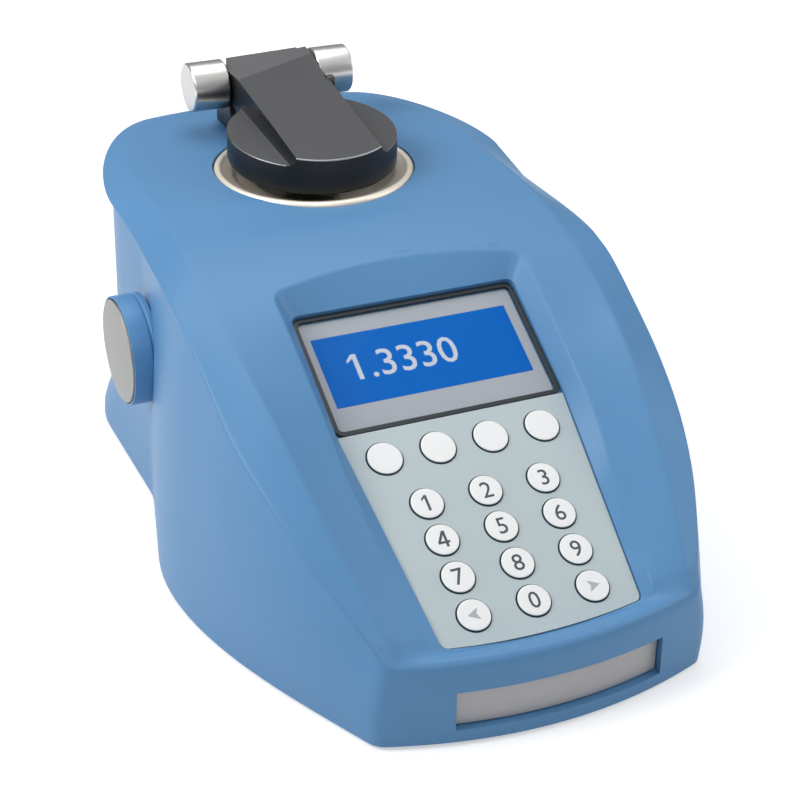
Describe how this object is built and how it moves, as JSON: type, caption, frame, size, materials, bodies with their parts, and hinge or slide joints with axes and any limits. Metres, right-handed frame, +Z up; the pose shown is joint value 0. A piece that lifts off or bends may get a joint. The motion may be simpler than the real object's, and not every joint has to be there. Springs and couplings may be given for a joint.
{
  "type": "digital refractometer",
  "caption": "Bench-top digital refractometer: blue moulded housing with a sloping keypad and screen, steel sample dish under a hinged black pressing lid, and a cap on its left side.",
  "frame": {"origin": "on the bench, under the middle of the instrument", "axes": "+X to the instrument's right as seen by its user, +Y from its front to its back, +Z up"},
  "size_m": [0.1642, 0.2578, 0.1271],
  "materials": {
    "housing_blue": "fine satin texture",
    "label_grey": "printed film",
    "key_white": "satin",
    "bezel_dark": "printed border",
    "clear_window": "clear",
    "display_glass": "display",
    "board_green": "circuit board",
    "plate_grey": "satin",
    "steel": "satin",
    "polished_steel": "polished",
    "lid_black": "black coated",
    "rubber_black": "matte",
    "aluminium": "machined",
    "ceramic_white": "plain",
    "plastic_black": "plain"
  },
  "bodies": {
    "instrument": {"upper_housing": "housing_blue", "base_plate": "plastic_black", "base_screw_1": "steel", "base_screw_2": "steel", "base_screw_3": "steel", "base_screw_4": "steel", "foot_front_left": "rubber_black", "foot_front_right": "rubber_black", "foot_rear_left": "rubber_black", "foot_rear_right": "rubber_black", "keypad_overlay": "label_grey", "display_bezel": "bezel_dark", "display_window": "clear_window", "display_module": "display_glass", "switch_board": "board_green", "front_plate": "plate_grey", "dish_ring": "steel", "dish_seal": "rubber_black", "prism": "clear_window", "optics_block": "aluminium", "light_source": "board_green", "sensor_board": "board_green", "lens": "clear_window", "peltier_module": "ceramic_white", "heat_sink": "aluminium", "main_board": "board_green", "hinge_bracket": "lid_black", "bracket_screw_1": "polished_steel", "bracket_screw_2": "polished_steel", "hinge_pin": "polished_steel", "hinge_barrel_left": "polished_steel", "hinge_barrel_right": "polished_steel", "rear_panel": "plastic_black", "power_inlet": "plastic_black", "serial_port": "steel", "power_switch": "plastic_black"},
    "lid": {"lid": "lid_black", "presser_pad": "rubber_black", "lid_side_screw": "lid_black"},
    "side_cap": {"side_cap": "housing_blue", "side_cap_disc": "steel", "desiccant_canister": "ceramic_white"},
    "power_rocker": {"power_rocker": "plastic_black"},
    "key_1": {"key_1": "key_white"},
    "key_2": {"key_2": "key_white"},
    "key_3": {"key_3": "key_white"},
    "key_4": {"key_4": "key_white"},
    "key_5": {"key_5": "key_white"},
    "key_6": {"key_6": "key_white"},
    "key_7": {"key_7": "key_white"},
    "key_8": {"key_8": "key_white"},
    "key_9": {"key_9": "key_white"},
    "key_left": {"key_left": "key_white"},
    "key_0": {"key_0": "key_white"},
    "key_right": {"key_right": "key_white"},
    "key_soft_1": {"key_soft_1": "key_white"},
    "key_soft_2": {"key_soft_2": "key_white"},
    "key_soft_3": {"key_soft_3": "key_white"},
    "key_soft_4": {"key_soft_4": "key_white"}
  },
  "joints": [
    {"name": "lid_hinge", "type": "hinge", "parent": "instrument", "child": "lid", "pos_m": [0, 0.1038, 0.118], "axis": [-1, 0, 0], "range_deg": [0, 105]},
    {"name": "side_cap_pull", "type": "slide", "parent": "instrument", "child": "side_cap", "axis": [-1, 0, 0], "range_m": [0, 0.036]},
    {"name": "power_rocker_tilt", "type": "hinge", "parent": "instrument", "child": "power_rocker", "pos_m": [0.027, 0.12188, 0.0295], "axis": [1, 0, 0], "range_deg": [-20, 0]},
    {"name": "key_1_press", "type": "slide", "parent": "instrument", "child": "key_1", "axis": [0, 0.4848, -0.8746], "range_m": [0, 0.0008], "stiffness_N_per_m": 900, "springref_m": -0.0004},
    {"name": "key_2_press", "type": "slide", "parent": "instrument", "child": "key_2", "axis": [0, 0.4848, -0.8746], "range_m": [0, 0.0008], "stiffness_N_per_m": 900, "springref_m": -0.0004},
    {"name": "key_3_press", "type": "slide", "parent": "instrument", "child": "key_3", "axis": [0, 0.4848, -0.8746], "range_m": [0, 0.0008], "stiffness_N_per_m": 900, "springref_m": -0.0004},
    {"name": "key_4_press", "type": "slide", "parent": "instrument", "child": "key_4", "axis": [0, 0.4848, -0.8746], "range_m": [0, 0.0008], "stiffness_N_per_m": 900, "springref_m": -0.0004},
    {"name": "key_5_press", "type": "slide", "parent": "instrument", "child": "key_5", "axis": [0, 0.4848, -0.8746], "range_m": [0, 0.0008], "stiffness_N_per_m": 900, "springref_m": -0.0004},
    {"name": "key_6_press", "type": "slide", "parent": "instrument", "child": "key_6", "axis": [0, 0.4848, -0.8746], "range_m": [0, 0.0008], "stiffness_N_per_m": 900, "springref_m": -0.0004},
    {"name": "key_7_press", "type": "slide", "parent": "instrument", "child": "key_7", "axis": [0, 0.4848, -0.8746], "range_m": [0, 0.0008], "stiffness_N_per_m": 900, "springref_m": -0.0004},
    {"name": "key_8_press", "type": "slide", "parent": "instrument", "child": "key_8", "axis": [0, 0.4848, -0.8746], "range_m": [0, 0.0008], "stiffness_N_per_m": 900, "springref_m": -0.0004},
    {"name": "key_9_press", "type": "slide", "parent": "instrument", "child": "key_9", "axis": [0, 0.4848, -0.8746], "range_m": [0, 0.0008], "stiffness_N_per_m": 900, "springref_m": -0.0004},
    {"name": "key_left_press", "type": "slide", "parent": "instrument", "child": "key_left", "axis": [0, 0.4848, -0.8746], "range_m": [0, 0.0008], "stiffness_N_per_m": 900, "springref_m": -0.0004},
    {"name": "key_0_press", "type": "slide", "parent": "instrument", "child": "key_0", "axis": [0, 0.4848, -0.8746], "range_m": [0, 0.0008], "stiffness_N_per_m": 900, "springref_m": -0.0004},
    {"name": "key_right_press", "type": "slide", "parent": "instrument", "child": "key_right", "axis": [0, 0.4848, -0.8746], "range_m": [0, 0.0008], "stiffness_N_per_m": 900, "springref_m": -0.0004},
    {"name": "key_soft_1_press", "type": "slide", "parent": "instrument", "child": "key_soft_1", "axis": [0, 0.4848, -0.8746], "range_m": [0, 0.0008], "stiffness_N_per_m": 900, "springref_m": -0.0004},
    {"name": "key_soft_2_press", "type": "slide", "parent": "instrument", "child": "key_soft_2", "axis": [0, 0.4848, -0.8746], "range_m": [0, 0.0008], "stiffness_N_per_m": 900, "springref_m": -0.0004},
    {"name": "key_soft_3_press", "type": "slide", "parent": "instrument", "child": "key_soft_3", "axis": [0, 0.4848, -0.8746], "range_m": [0, 0.0008], "stiffness_N_per_m": 900, "springref_m": -0.0004},
    {"name": "key_soft_4_press", "type": "slide", "parent": "instrument", "child": "key_soft_4", "axis": [0, 0.4848, -0.8746], "range_m": [0, 0.0008], "stiffness_N_per_m": 900, "springref_m": -0.0004}
  ]
}
